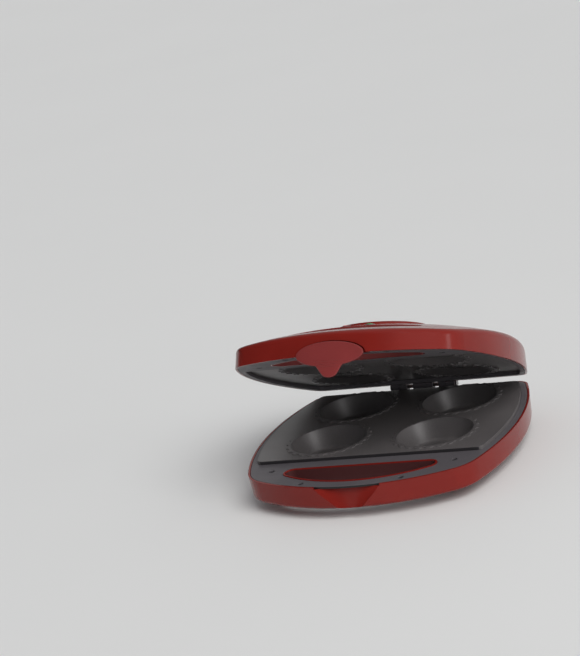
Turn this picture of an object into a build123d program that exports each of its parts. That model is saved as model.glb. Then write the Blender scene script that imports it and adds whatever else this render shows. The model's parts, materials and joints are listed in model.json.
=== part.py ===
from build123d import *
import math
import os

# Mini pie maker: two hinged halves with four wells, opened part way.
# X runs across, the front is towards -Y and Z is up from the table. Lengths are in millimetres.
# The origin lies under the middle of the whole. Places are measured from the middle of the wells.

os.makedirs("parts", exist_ok=True)

# Outline of both halves at their rims, seen from above
wells_y = 31.97
body_width = 304
body_front = 187
body_back = 106
widest_share = 0.107
front_corner_x_share = 0.836
front_corner_y_share = 0.781
front_corner_radius = 45
back_corner_radius = 14
least_corner_radius = 3

# Outer mouldings
shell_stand = 3
shell_wall = 2.4
wall_draft = 4
shell_edge_radius = 5
base_wall_height = 27
lid_gap = 2
crown_height = 48
crown_radius = 640
crown_edge_radius = 7

# Bottom cover and feet
foot_height = 4
foot_radius = 9
foot_inset = 20
foot_y_share = 0.6
foot_stem_radius = 3
foot_edge_radius = 1.2
cover_screw_inset = 13
cover_screw_pad = 9
cover_boss_height = 8
shield_post_radius = 4
cover_depth = 9
cover_wall = 2.4
cover_half_width = 117
cover_front = 105
cover_back = 101
cover_corner_radius = 25
cover_edge_radius = 3
cover_lap = 5
vent_count = 7
vent_length = 34
vent_width = 3.4
vent_pitch = 8

# Handle slots
slot_back = 128
slot_front = 171
slot_point = 104
slot_tip_radius = 9
collar_wall = 2.2
collar_lip = 0.8

# Black frames inside the rims
frame_depth = 5
frame_skin = 2.5
frame_edge = 2.5
ledge_width = 2.6
ledge_drop = 2
fit_gap = 0.3
swing_gap = 1.5
upper_plate_lap = 5

# Cooking plates
plate_inset = 7
plate_front = 106
plate_corner_radius = 8
plate_proud = 4
plate_thickness = 3
skirt_wall = 2.5
closing_gap = 0.3
well_spacing_x_share = 0.421
well_spacing_y = 103
well_mouth_radius = 44
well_floor_radius = 36
well_depth = 24
well_wall = 2.2
well_floor_edge_radius = 5
land_radius = 50
land_height = 0.8
scallop_count = 24
scallop_radius = 4.5
scallop_stand = 1.5
dome_mouth_radius = 43
dome_top_radius = 32
dome_depth = 7
dome_edge_radius = 5
tooth_inset = 0.6
tooth_count = 24
tooth_width = 4.4
tooth_length = 5.2
tooth_height = 1.1

# Hinge
lid_open = 27
hinge_behind = 12
pin_radius = 2.5
running_gap = 0.05
pin_head_radius = 4
pin_head_thickness = 1.5
lug_radius = 6.5
outer_lug_inside = 30
outer_lug_thickness = 10
knuckle_inside = 20
centre_lug_half = 12
side_gap = 0.4
hinge_notch_gap = 0.8

# Latch
latch_half_width = 39
latch_half_height = 13.6
latch_rise = 0
latch_thickness = 3.6
latch_stand = 3.4
latch_edge_radius = 1.2
latch_gap = 1.2
pocket_depth = 8
tongue_top_half = 16.5
tongue_root_share = 0.8
tongue_tip_half = 6
tongue_tip_radius = 9
tongue_drop = 25.8
tongue_root_radius = 3
hook_half_width = 7
hook_reach = 3
hook_height = 2.6
hook_gap = 0.4
pivot_depth = 2
pivot_rise = 5
latch_ear_radius = 3.4
latch_ear_inside = 16
latch_ear_thickness = 4
latch_ear_sink = 0.6
pivot_lug_thickness = 4
pivot_lug_radius = 2.8
latch_pin_radius = 1.5
notch_half_width = 38.5
scoop_depth = 6.5
scoop_foot_half_width = 11
scoop_foot_depth = 2

# Heaters
tube_radius = 3.25
heater_back_share = 0.8
heater_front_share = 0.69
heater_bend_radius = 30
cold_pin_radius = 1.6
cold_pin_length = 8
tag_thickness = 1
tag_half_width = 2
tag_half_height = 2.6
clip_front_share = 0.29
clip_thickness = 1
clip_width = 10
clip_foot = 7
shield_thickness = 0.8
shield_margin = 14
shield_gap = 1.2

# Controls and fastenings
stat_radius = 8
stat_height = 9
stat_flange_radius = 11
stat_flange = 1.2
fuse_radius = 2.2
fuse_length = 14
fuse_y_share = 0.55
terminal_width = 22
terminal_depth = 12
terminal_height = 12
terminal_y_share = 0.74
wire_radius = 1.2
wire_bend_radius = 7
gland_flange_radius = 8
gland_neck_radius = 5.5
gland_bore_radius = 3.6
gland_flange = 2
gland_rise = 11
screw_radius = 2
screw_head_radius = 3.4
screw_head = 2.4
screw_bite = 6
boss_radius = 5.2
boss_top_wall = 1.2
side_boss_x_share = 0.71
side_boss_y_share = 0.69
front_boss_x_share = 0.385
front_boss_y_share = 0.918
ear_radius = 7
ear_y_front_share = 0.37
ear_y_back_share = 0.45
ear_edge_gap = 12
small_screw_radius = 1.5
small_screw_head_radius = 2.4
small_screw_head = 1.6
small_screw_bite = 3.4
small_screw_edge = 3.2
rib_thickness = 2
rib_reach = 6
lid_rib_reach = 1.5
rib_y_shares = (-0.62, -0.3, 0.05, 0.38)

# Lights and medallion on the crown
lens_spacing = 28
lens_y = -98
lens_radius = 4.2
lens_stem_radius = 3
lens_stand = 1
lens_seat = 0.8
lamp_radius = 2.5
lamp_height = 5
board_width = 46
board_depth = 14
board_thickness = 1.6
board_rise = 9
post_share = 0.43
medallion_y = -16
medallion_radius = 52
medallion_ring = 4
medallion_seat = 1
medallion_stand = 1.6
hump_rise = 1.2
hump_wall = 2
hump_flare = 3

overrun = 1

crown_sag = (lens_y - medallion_y) ** 2 / (2 * crown_radius)
hinge_notch_width = 2 * (outer_lug_inside + outer_lug_thickness + hinge_notch_gap)

# Levels
base_floor_z = foot_height + cover_depth
rim_z = base_floor_z + base_wall_height
lid_rim_z = rim_z + lid_gap
crown_z = lid_rim_z + crown_height
frame_z = rim_z - frame_depth
scoop_top_z = rim_z - frame_skin
ledge_z = rim_z - ledge_drop
plate_z = rim_z + plate_proud
plate_under_z = plate_z - plate_thickness
well_floor_z = plate_z - well_depth
well_under_z = well_floor_z - well_wall
hinge_y = body_back + hinge_behind
hinge_z = rim_z + lid_gap / 2
upper_face_z = plate_z + land_height + closing_gap + tooth_height
upper_back_z = upper_face_z + plate_thickness
dome_top_z = upper_back_z + dome_depth
lid_frame_top_z = upper_face_z
lid_frame_depth = lid_frame_top_z - lid_rim_z
cover_inner_z = foot_height + cover_wall
shield_z = cover_inner_z + shield_gap

# Side arc of the outline, for pieces that follow it
half_width = body_width / 2
well_spacing_x = body_width * well_spacing_x_share
widest_y = -body_front * widest_share
front_corner = (half_width * front_corner_x_share, -body_front * front_corner_y_share)
front_rise = body_front + front_corner[1]
front_radius = (front_corner[0] ** 2 + front_rise**2) / (2 * front_rise)
side_sag = half_width - front_corner[0]
side_radius = ((widest_y - front_corner[1]) ** 2 + side_sag**2) / (2 * side_sag)


def side_x(y):
    """Half width of the outline at a place along its side."""
    return half_width - side_radius + math.sqrt(side_radius**2 - (y - widest_y) ** 2)


def level(z):
    """Level plane at a height."""
    return Plane(origin=(0, wells_y, z))


def spot(x, y, z):
    """Place measured from the middle of the wells, at a height over the table."""
    return Location((x, wells_y + y, z))


def side_plane(x):
    """Upright plane across the hinge line at a width."""
    return Plane(origin=(x, wells_y, 0), x_dir=(0, 1, 0), z_dir=(1, 0, 0))


# The lid's pieces are drawn closed and placed by planes turned about the hinge
hinge_spot = spot(0, hinge_y, hinge_z)
lid_turn = hinge_spot * Location((0, 0, 0), (-lid_open, 0, 0)) * hinge_spot.inverse()


def on_lid(plane):
    """The same plane after the lid has opened."""
    return Plane(lid_turn * plane.location)


def lid_level(z):
    """Level plane of the closed lid, opened with it."""
    return on_lid(level(z))


def body_face(grow):
    """Outline of the halves, grown outwards or inwards: three bows and a straight back."""
    with BuildSketch(mode=Mode.PRIVATE) as outline:
        with Locations((0, front_radius - body_front)):
            Circle(front_radius + grow)
        for side in (-1, 1):
            with Locations((side * (half_width - side_radius), widest_y)):
                Circle(side_radius + grow, mode=Mode.INTERSECT)
        with Locations((0, body_back + grow)):
            Rectangle(
                2 * body_width,
                2 * (body_front + body_back),
                align=(Align.CENTER, Align.MAX),
                mode=Mode.INTERSECT,
            )
        fillet(outline.vertices().group_by(Axis.Y)[0], front_corner_radius + grow)
        fillet(outline.vertices().group_by(Axis.Y)[-1], max(back_corner_radius + grow, least_corner_radius))
    return outline.sketch


def plate_face(grow):
    """Outline of the cooking plates, straight along the front."""
    with BuildSketch(mode=Mode.PRIVATE) as outline:
        add(body_face(grow - plate_inset))
        with Locations((0, -plate_front - grow)):
            Rectangle(2 * body_width, 2 * body_front, align=(Align.CENTER, Align.MAX), mode=Mode.SUBTRACT)
        corners = outline.vertices().group_by(Axis.Y)[0]
        fillet(corners, plate_corner_radius + max(grow, 0))
    return outline.sketch


def slot_face(grow):
    """Outline of the handle slots, straight behind and bowed in front."""
    with BuildSketch(mode=Mode.PRIVATE) as outline:
        with BuildLine():
            Line((-slot_point, -slot_back), (slot_point, -slot_back))
            ThreePointArc((slot_point, -slot_back), (0, -slot_front), (-slot_point, -slot_back))
        make_face()
        fillet(outline.vertices(), slot_tip_radius)
        if grow:
            offset(amount=grow)
    return outline.sketch


def cover_face(grow):
    """Outline of the bottom cover."""
    with BuildSketch(mode=Mode.PRIVATE) as outline:
        with Locations((0, (cover_back - cover_front) / 2)):
            RectangleRounded(
                2 * (cover_half_width + grow),
                cover_front + cover_back + 2 * grow,
                cover_corner_radius + grow,
            )
    return outline.sketch


wells = [
    (x * well_spacing_x / 2, y * well_spacing_y / 2) for x in (-1, 1) for y in (-1, 1)
]


def scoop_face(half, depth):
    """Slice of the latch scoop: an inward bow across the front wall."""
    front = -body_front
    with BuildSketch(mode=Mode.PRIVATE) as outline:
        with BuildLine():
            Polyline(
                (-half, front),
                (-half, front - body_front),
                (half, front - body_front),
                (half, front),
            )
            ThreePointArc((half, front), (0, front + depth), (-half, front))
        make_face()
    return outline.sketch


def scoop_solid(grow):
    """The latch scoop, wide above and narrow below, grown by a wall."""
    with BuildPart(mode=Mode.PRIVATE) as scoop:
        with BuildSketch(level(base_floor_z - overrun)):
            add(scoop_face(scoop_foot_half_width + grow, scoop_foot_depth + grow))
        with BuildSketch(level(scoop_top_z)):
            add(scoop_face(notch_half_width + grow, scoop_depth + grow))
        loft(ruled=True)
    return scoop.part


draft_slope = math.tan(math.radians(wall_draft))


def drafted(plane_low, low, plane_high, high):
    """Solid between two grown outlines of the halves."""
    with BuildPart(mode=Mode.PRIVATE) as block:
        with BuildSketch(plane_low):
            add(body_face(low))
        with BuildSketch(plane_high):
            add(body_face(high))
        loft(ruled=True)
    return block.part


def lid_spot(x, y, z):
    """Place on the closed lid, opened with it."""
    return lid_turn * spot(x, y, z)


def mirrored(spots):
    """The spots and their mirror images across the middle."""
    return [(side * x, y) for x, y in spots for side in (-1, 1)]


# Four screws hold each black frame to its moulding, in sight on the deck
boss_spots = mirrored(
    [
        (half_width * side_boss_x_share, -body_front * side_boss_y_share),
        (half_width * front_boss_x_share, -body_front * front_boss_y_share),
    ]
)
ear_rows = (-body_front * ear_y_front_share, body_back * ear_y_back_share)
ear_spots = mirrored([(side_x(y) - plate_inset - ear_edge_gap, y) for y in ear_rows])
lid_screw_spots = mirrored([(side_x(y) - small_screw_edge, y) for y in ear_rows])
rib_rows = [body_front * share for share in rib_y_shares]


def rib_face(reach):
    """Ribs along both side walls, reaching inwards from the frame's edge."""
    with BuildSketch(mode=Mode.PRIVATE) as ribs:
        with Locations(*mirrored([(side_x(y) + shell_stand - reach / 2, y) for y in rib_rows])):
            Rectangle(reach + 2 * shell_stand, rib_thickness)
    return ribs.sketch


cover_screw_spots = [
    (side * (cover_half_width - cover_screw_inset), y)
    for side in (-1, 1)
    for y in (cover_screw_inset - cover_front, cover_back - cover_screw_inset)
]
foot_spots = {
    "foot_front_left": (foot_inset - cover_half_width, -cover_front * foot_y_share),
    "foot_front_right": (cover_half_width - foot_inset, -cover_front * foot_y_share),
    "foot_rear_left": (foot_inset - cover_half_width, cover_back * foot_y_share),
    "foot_rear_right": (cover_half_width - foot_inset, cover_back * foot_y_share),
}

# Place of the cord gland in the rear wall, square to the drafted wall
gland_z = base_floor_z + gland_rise
gland_y = body_back + shell_stand - (rim_z - gland_z) * draft_slope
wall_out = (0, math.cos(math.radians(wall_draft)), -math.sin(math.radians(wall_draft)))


def gland_plane(outwards):
    """Plane along the rear wall at the gland, moved outwards from the wall's face."""
    return Plane(origin=spot(0, gland_y, gland_z).position, x_dir=(1, 0, 0), z_dir=wall_out).offset(outwards)


# Glossy outer moulding of the lower half
base_foot_stand = shell_stand - base_wall_height * draft_slope

with BuildPart() as base_cavity:
    add(
        drafted(
            level(base_floor_z + shell_wall),
            base_foot_stand - shell_wall + shell_wall * draft_slope,
            level(rim_z + overrun),
            shell_stand - shell_wall + overrun * draft_slope,
        )
    )
    add(scoop_solid(shell_wall), mode=Mode.SUBTRACT)
    with BuildSketch(level(base_floor_z)):
        with Locations(*boss_spots):
            Circle(boss_radius)
    extrude(amount=base_wall_height - frame_depth, mode=Mode.SUBTRACT)
    with BuildSketch(level(base_floor_z)):
        with Locations(*cover_screw_spots):
            Circle(boss_radius)
    extrude(amount=shell_wall + cover_boss_height, mode=Mode.SUBTRACT)
    with BuildSketch(level(base_floor_z)):
        add(rib_face(rib_reach))
    extrude(amount=base_wall_height - frame_depth, mode=Mode.SUBTRACT)

with BuildPart() as base_shell:
    add(drafted(level(base_floor_z), base_foot_stand, level(rim_z), shell_stand))
    fillet(base_shell.faces().sort_by(Axis.Z)[0].edges(), shell_edge_radius)
    add(base_cavity.part, mode=Mode.SUBTRACT)
    add(scoop_solid(0), mode=Mode.SUBTRACT)
    with BuildSketch(level(base_floor_z)):
        add(cover_face(-cover_lap))
        with Locations(*cover_screw_spots):
            Circle(cover_screw_pad, mode=Mode.SUBTRACT)
    extrude(amount=shell_wall + overrun, mode=Mode.SUBTRACT)
    with BuildSketch(level(base_floor_z)):
        add(slot_face(collar_wall))
    extrude(amount=base_wall_height + collar_lip)
    with BuildSketch(level(base_floor_z)):
        add(slot_face(0))
    extrude(amount=base_wall_height + collar_lip, mode=Mode.SUBTRACT)
    with BuildSketch(level(scoop_top_z)):
        with Locations((0, -body_front)):
            Rectangle(2 * notch_half_width, 2 * scoop_depth)
    extrude(amount=frame_skin + overrun, mode=Mode.SUBTRACT)
    with BuildSketch(level(rim_z + overrun)):
        with Locations((0, body_back)):
            Rectangle(hinge_notch_width, 2 * hinge_behind)
    extrude(amount=hinge_z - rim_z - lug_radius - hinge_notch_gap - overrun, mode=Mode.SUBTRACT)
    with BuildSketch(gland_plane(overrun)):
        Circle(gland_neck_radius + running_gap)
    extrude(amount=-shell_wall - 2 * overrun, mode=Mode.SUBTRACT)
    with BuildSketch(level(frame_z)):
        with Locations(*boss_spots):
            Circle(screw_radius + running_gap)
    extrude(amount=-screw_bite - fit_gap, mode=Mode.SUBTRACT)
    with BuildSketch(level(base_floor_z)):
        with Locations(*cover_screw_spots):
            Circle(screw_radius + running_gap)
    extrude(amount=screw_bite + fit_gap, mode=Mode.SUBTRACT)
base_shell.part.label = "base_shell"
export_step(base_shell.part, "parts/base_shell.step")


def hinge_lug(plane, level_low, level_high):
    """Section of a hinge lug in a plane across the axis, with its web to the frame."""
    with BuildSketch(plane) as section:
        with Locations((hinge_y, hinge_z)):
            Circle(lug_radius)
        with BuildLine():
            Polyline(
                (body_back - frame_edge, level_low),
                (hinge_y, level_low),
                (hinge_y, level_high),
                (body_back - frame_edge, level_high),
                close=True,
            )
        make_face()
    return section.sketch


# Black frame of the lower half, with the deck, the plate's ledge and the fixed hinge lugs
with BuildPart() as base_frame:
    with BuildSketch(level(rim_z)):
        add(body_face(0))
    extrude(amount=-frame_skin)
    with BuildSketch(level(rim_z)):
        add(body_face(0))
        add(body_face(-frame_edge), mode=Mode.SUBTRACT)
    extrude(amount=-frame_depth)
    with BuildSketch(level(rim_z)):
        add(plate_face(fit_gap + frame_edge))
    extrude(amount=-frame_depth)
    with BuildSketch(level(rim_z)):
        add(slot_face(collar_wall + fit_gap + frame_edge))
        with Locations(*boss_spots):
            Circle(boss_radius)
    extrude(amount=-frame_depth)
    for inside, thickness in ((outer_lug_inside, outer_lug_thickness), (-centre_lug_half, 2 * centre_lug_half)):
        extrude(hinge_lug(side_plane(inside), hinge_z - lug_radius, rim_z), amount=thickness)
    extrude(
        hinge_lug(side_plane(-outer_lug_inside), hinge_z - lug_radius, rim_z),
        amount=-outer_lug_thickness,
    )
    with BuildSketch(level(rim_z)):
        add(plate_face(fit_gap))
    extrude(amount=-ledge_drop, mode=Mode.SUBTRACT)
    with BuildSketch(level(rim_z)):
        add(plate_face(-ledge_width))
    extrude(amount=-frame_depth, mode=Mode.SUBTRACT)
    with BuildSketch(level(ledge_z)):
        with Locations(*ear_spots):
            Circle(ear_radius)
        for x, y in ear_spots:
            with Locations((x + math.copysign(ear_edge_gap / 2, x), y)):
                Rectangle(ear_edge_gap, 2 * ear_radius)
    extrude(amount=ledge_drop - frame_depth)
    with BuildSketch(level(rim_z)):
        add(slot_face(collar_wall + fit_gap))
    extrude(amount=-frame_depth, mode=Mode.SUBTRACT)
    with BuildSketch(level(scoop_top_z)):
        with Locations((0, -body_front)):
            Rectangle(
                2 * (notch_half_width + shell_wall + fit_gap),
                2 * (scoop_depth + shell_wall + fit_gap),
            )
    extrude(amount=-frame_depth, mode=Mode.SUBTRACT)
    with BuildSketch(level(ledge_z)):
        with Locations(*ear_spots):
            Circle(screw_radius + running_gap)
    extrude(amount=ledge_drop - frame_depth, mode=Mode.SUBTRACT)
    with BuildSketch(level(rim_z)):
        with Locations(*boss_spots):
            Circle(screw_head_radius + fit_gap)
    extrude(amount=-frame_depth + boss_top_wall, mode=Mode.SUBTRACT)
    with BuildSketch(level(rim_z)):
        with Locations(*boss_spots):
            Circle(screw_radius + running_gap)
    extrude(amount=-frame_depth, mode=Mode.SUBTRACT)
    with BuildSketch(side_plane(-half_width)):
        with Locations((hinge_y, hinge_z)):
            Circle(pin_radius + running_gap)
    extrude(amount=body_width, mode=Mode.SUBTRACT)
base_frame.part.label = "base_frame"
export_step(base_frame.part, "parts/base_frame.step")


def at_level(shape_list, plane, place):
    """The edges that lie at one height over a plane."""
    return shape_list.filter_by(lambda edge: abs(plane.to_local_coords(edge.center()).Z - place) < running_gap)


# Lower cooking plate with its four wells
with BuildPart() as lower_plate:
    with BuildSketch(level(plate_z)):
        add(plate_face(0))
    extrude(amount=-plate_thickness)
    with BuildSketch(level(plate_z)):
        add(plate_face(0))
        add(plate_face(-skirt_wall), mode=Mode.SUBTRACT)
    extrude(amount=ledge_z - plate_z)
    with BuildSketch(level(plate_under_z)):
        with Locations(*ear_spots):
            Circle(boss_radius)
    extrude(amount=ledge_z - plate_under_z)
    with Locations(*[spot(x, y, well_under_z) for x, y in wells]):
        Cone(
            well_floor_radius + well_wall,
            well_mouth_radius + well_wall,
            plate_z - well_under_z,
            align=(Align.CENTER, Align.CENTER, Align.MIN),
        )
    with BuildSketch(level(plate_z)):
        with Locations(*wells):
            Circle(land_radius)
            with PolarLocations(land_radius + scallop_stand, scallop_count):
                Circle(scallop_radius, mode=Mode.SUBTRACT)
        add(plate_face(0), mode=Mode.INTERSECT)
    extrude(amount=land_height)
    with Locations(*[spot(x, y, well_floor_z) for x, y in wells]):
        Cone(
            well_floor_radius,
            well_mouth_radius,
            plate_z - well_floor_z,
            align=(Align.CENTER, Align.CENTER, Align.MIN),
            mode=Mode.SUBTRACT,
        )
    with BuildSketch(level(plate_z)):
        with Locations(*wells):
            Circle(well_mouth_radius)
    extrude(amount=land_height + overrun, mode=Mode.SUBTRACT)
    rings = lower_plate.edges().filter_by(GeomType.CIRCLE)
    fillet(at_level(rings, Plane.XY, well_floor_z), well_floor_edge_radius)
    with BuildSketch(level(ledge_z)):
        with Locations(*ear_spots):
            Circle(screw_radius + running_gap)
    extrude(amount=plate_z - ledge_z - boss_top_wall, mode=Mode.SUBTRACT)
lower_plate.part.label = "lower_plate"
export_step(lower_plate.part, "parts/lower_plate.step")

# Bottom cover, a vented tray held by four screws
with BuildPart() as bottom_cover:
    with BuildSketch(level(foot_height)):
        add(cover_face(0))
    extrude(amount=cover_depth)
    fillet(bottom_cover.faces().sort_by(Axis.Z)[0].edges(), cover_edge_radius)
    with BuildSketch(level(cover_inner_z)):
        add(cover_face(-cover_wall))
        with Locations(*cover_screw_spots):
            Circle(cover_screw_pad, mode=Mode.SUBTRACT)
    extrude(amount=cover_depth, mode=Mode.SUBTRACT)
    with BuildSketch(level(cover_inner_z)):
        with Locations(*wells):
            Circle(shield_post_radius)
    extrude(amount=shield_gap)
    with BuildSketch(level(foot_height)):
        with GridLocations(vent_pitch, 2 * vent_length, vent_count, 2):
            Rectangle(vent_width, vent_length)
        with Locations(*foot_spots.values()):
            Circle(foot_stem_radius + running_gap)
        with Locations(*cover_screw_spots):
            Circle(screw_radius + running_gap)
    extrude(amount=cover_depth, mode=Mode.SUBTRACT)
    with BuildSketch(level(foot_height)):
        with Locations(*cover_screw_spots):
            Circle(screw_head_radius + fit_gap)
    extrude(amount=screw_head + fit_gap, mode=Mode.SUBTRACT)
bottom_cover.part.label = "bottom_cover"
export_step(bottom_cover.part, "parts/bottom_cover.step")

# Rubber feet, each with a stem pushed through the cover
for foot_name, foot_spot in foot_spots.items():
    with BuildPart() as foot:
        with BuildSketch(level(foot_height)):
            with Locations(foot_spot):
                Circle(foot_radius)
        extrude(amount=-foot_height)
        fillet(foot.edges().sort_by(Axis.Z)[0], foot_edge_radius)
        with BuildSketch(level(foot_height)):
            with Locations(foot_spot):
                Circle(foot_stem_radius)
        extrude(amount=cover_wall + overrun)
    foot.part.label = foot_name
    export_step(foot.part, "parts/" + foot_name + ".step")

# Reflector on the cover's posts, under the heater
with BuildPart() as heat_shield:
    with BuildSketch(level(shield_z)):
        add(cover_face(-shield_margin))
        with Locations(*cover_screw_spots):
            Circle(cover_screw_pad + fit_gap, mode=Mode.SUBTRACT)
    extrude(amount=shield_thickness)
heat_shield.part.label = "heat_shield"
export_step(heat_shield.part, "parts/heat_shield.step")

# Heaters: one bent tube under each row of wells, and its straps
heater_back = well_spacing_y * heater_back_share
heater_front = -well_spacing_y * heater_front_share
pin_end = heater_back + cold_pin_length


def heater_path(plane):
    """Centre line of a heater: a U open at the back."""
    with BuildLine(plane) as path:
        FilletPolyline(
            (-well_spacing_x / 2, heater_back),
            (-well_spacing_x / 2, heater_front),
            (well_spacing_x / 2, heater_front),
            (well_spacing_x / 2, heater_back),
            radius=heater_bend_radius,
        )
    return path.line


def heater_tube(plane):
    """A tubular heater with its cold pins and tags."""
    path = heater_path(plane)
    start = Plane(origin=path @ 0, z_dir=path % 0)
    with BuildPart(mode=Mode.PRIVATE) as tube:
        with BuildSketch(start):
            Circle(tube_radius)
        sweep(path=path)
        for side in (-1, 1):
            end = plane.from_local_coords((side * well_spacing_x / 2, heater_back, 0))
            face = Plane(origin=end, x_dir=plane.x_dir, z_dir=plane.y_dir)
            with BuildSketch(face):
                Circle(cold_pin_radius)
            extrude(amount=cold_pin_length)
            with BuildSketch(face.offset(cold_pin_length - 2 * tag_half_width)):
                with Locations((-side * cold_pin_radius, 0)):
                    Rectangle(tag_thickness, 2 * tag_half_height)
            extrude(amount=2 * tag_half_width)
    return tube.part


def clip_solid(plane, side):
    """A strap over the tube, flat on its seat: side 1 stands up from the plane, -1 hangs."""
    with BuildPart(mode=Mode.PRIVATE) as clip:
        with BuildSketch(plane):
            with Locations((0, side * clip_thickness / 2)):
                Rectangle(2 * (tube_radius + clip_thickness + clip_foot), clip_thickness)
            with Locations((0, side * tube_radius)):
                Circle(tube_radius + clip_thickness)
            with Locations((0, side * tube_radius / 2)):
                Rectangle(2 * (tube_radius + clip_thickness), tube_radius)
            with Locations((0, -side * tube_radius)):
                Rectangle(4 * tube_radius, 2 * tube_radius, mode=Mode.SUBTRACT)
            with Locations((0, side * tube_radius)):
                Circle(tube_radius + running_gap, mode=Mode.SUBTRACT)
            with Locations((0, side * tube_radius / 2)):
                Rectangle(2 * (tube_radius + running_gap), tube_radius, mode=Mode.SUBTRACT)
        extrude(amount=clip_width / 2, both=True)
    return clip.part


clip_spots = [
    (side * well_spacing_x / 2, y)
    for side in (-1, 1)
    for y in (well_spacing_y / 2, -well_spacing_y * clip_front_share)
]


def across(x, y, z):
    """Upright plane facing the front at a point."""
    return Plane(origin=spot(x, y, z).position, x_dir=(1, 0, 0), z_dir=(0, -1, 0))


with BuildPart() as lower_element:
    add(heater_tube(level(well_under_z - tube_radius)))
lower_element.part.label = "lower_element"
export_step(lower_element.part, "parts/lower_element.step")

with BuildPart() as lower_element_clips:
    for x, y in clip_spots:
        add(clip_solid(across(x, y, well_under_z), -1))
lower_element_clips.part.label = "lower_element_clips"
export_step(lower_element_clips.part, "parts/lower_element_clips.step")

# Bimetal thermostat flat against the lower plate
with BuildPart() as thermostat:
    with BuildSketch(level(plate_under_z)):
        Circle(stat_flange_radius)
    extrude(amount=-stat_flange)
    with BuildSketch(level(plate_under_z - stat_flange)):
        Circle(stat_radius)
    extrude(amount=-stat_height)
thermostat.part.label = "thermostat"
export_step(thermostat.part, "parts/thermostat.step")

# Thermal fuse along the middle of the lower plate
with BuildPart() as thermal_fuse:
    with BuildSketch(across(0, body_back * fuse_y_share, plate_under_z - fuse_radius)):
        Circle(fuse_radius)
    extrude(amount=fuse_length / 2, both=True)
thermal_fuse.part.label = "thermal_fuse"
export_step(thermal_fuse.part, "parts/thermal_fuse.step")

# Terminal block on the reflector, with a recess for each of its three screws
terminal_z = shield_z + shield_thickness
terminal_y = body_back * terminal_y_share
with BuildPart() as terminal_block:
    with Locations(spot(0, terminal_y, terminal_z)):
        Box(
            terminal_width,
            terminal_depth,
            terminal_height,
            align=(Align.CENTER, Align.CENTER, Align.MIN),
        )
    with BuildSketch(level(terminal_z + terminal_height)):
        with Locations((0, terminal_y)):
            with GridLocations(terminal_width / 3, 1, 3, 1):
                Circle(screw_radius)
    extrude(amount=-terminal_height / 3, mode=Mode.SUBTRACT)
terminal_block.part.label = "terminal_block"
export_step(terminal_block.part, "parts/terminal_block.step")

# Bush for the mains lead in the rear wall
with BuildPart() as cord_gland:
    with BuildSketch(gland_plane(running_gap)):
        Circle(gland_flange_radius)
    extrude(amount=gland_flange)
    with BuildSketch(gland_plane(running_gap)):
        Circle(gland_neck_radius)
    extrude(amount=-shell_wall - gland_flange - fit_gap)
    with BuildSketch(gland_plane(-shell_wall - fit_gap)):
        Circle(gland_flange_radius - gland_flange / 2)
    extrude(amount=-gland_flange)
    with BuildSketch(gland_plane(gland_flange + overrun)):
        Circle(gland_bore_radius)
    extrude(amount=-shell_wall - 3 * gland_flange - 2 * overrun, mode=Mode.SUBTRACT)
cord_gland.part.label = "cord_gland"
export_step(cord_gland.part, "parts/cord_gland.step")


def wire_solid(points, bend):
    """An insulated wire along straight runs and bends."""
    with BuildLine(mode=Mode.PRIVATE) as path:
        FilletPolyline(*points, radius=bend)
    with BuildPart(mode=Mode.PRIVATE) as wire:
        with BuildSketch(Plane(origin=path.line @ 0, z_dir=path.line % 0)):
            Circle(wire_radius)
        sweep(path=path.line)
    return wire.part


# Wires inside the lower half: block to both heater tags and to the thermostat
wire_z = well_under_z - tube_radius
block_front = terminal_y - terminal_depth / 2
tag_x = well_spacing_x / 2 - cold_pin_radius - tag_thickness / 2
tag_y = pin_end - tag_half_width
with BuildPart() as base_wiring:
    for side in (-1, 1):
        add(
            wire_solid(
                [
                    spot(side * terminal_width / 2, terminal_y, wire_z).position,
                    spot(side * terminal_width, terminal_y, wire_z).position,
                    spot(side * (tag_x - terminal_width / 2), tag_y, wire_z).position,
                    spot(side * tag_x, tag_y, wire_z).position,
                ],
                wire_bend_radius,
            )
        )
    add(
        wire_solid(
            [
                spot(0, block_front, wire_z).position,
                spot(0, 0, wire_z).position,
                spot(0, 0, plate_under_z - stat_flange - stat_height).position,
            ],
            wire_bend_radius,
        )
    )
base_wiring.part.label = "base_wiring"
export_step(base_wiring.part, "parts/base_wiring.step")


def screw_solid(plane, spots, radius, head_radius, head, length):
    """Screws whose heads sit on a plane and whose shanks go down into it."""
    with BuildPart(mode=Mode.PRIVATE) as screws:
        with BuildSketch(plane):
            with Locations(*spots):
                Circle(head_radius)
        extrude(amount=head)
        with BuildSketch(plane):
            with Locations(*spots):
                Circle(radius)
        extrude(amount=-length)
    return screws.part


# Flipped level plane, for screws driven upwards
def under(z):
    """Level plane that faces down."""
    return Plane(origin=(0, wells_y, z), x_dir=(-1, 0, 0), z_dir=(0, 0, -1))


with BuildPart() as lower_plate_screws:
    add(
        screw_solid(
            under(frame_z),
            ear_spots,
            screw_radius,
            screw_head_radius,
            screw_head,
            plate_z - frame_z - boss_top_wall - fit_gap,
        )
    )
lower_plate_screws.part.label = "lower_plate_screws"
export_step(lower_plate_screws.part, "parts/lower_plate_screws.step")

with BuildPart() as cover_screws:
    add(
        screw_solid(
            under(foot_height + screw_head + fit_gap),
            cover_screw_spots,
            screw_radius,
            screw_head_radius,
            screw_head,
            base_floor_z + screw_bite - foot_height - screw_head - fit_gap,
        )
    )
cover_screws.part.label = "cover_screws"
export_step(cover_screws.part, "parts/cover_screws.step")

with BuildPart() as deck_screws:
    add(
        screw_solid(
            level(frame_z + boss_top_wall),
            boss_spots,
            screw_radius,
            screw_head_radius,
            screw_head,
            boss_top_wall + screw_bite,
        )
    )
deck_screws.part.label = "deck_screws"
export_step(deck_screws.part, "parts/deck_screws.step")

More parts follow.
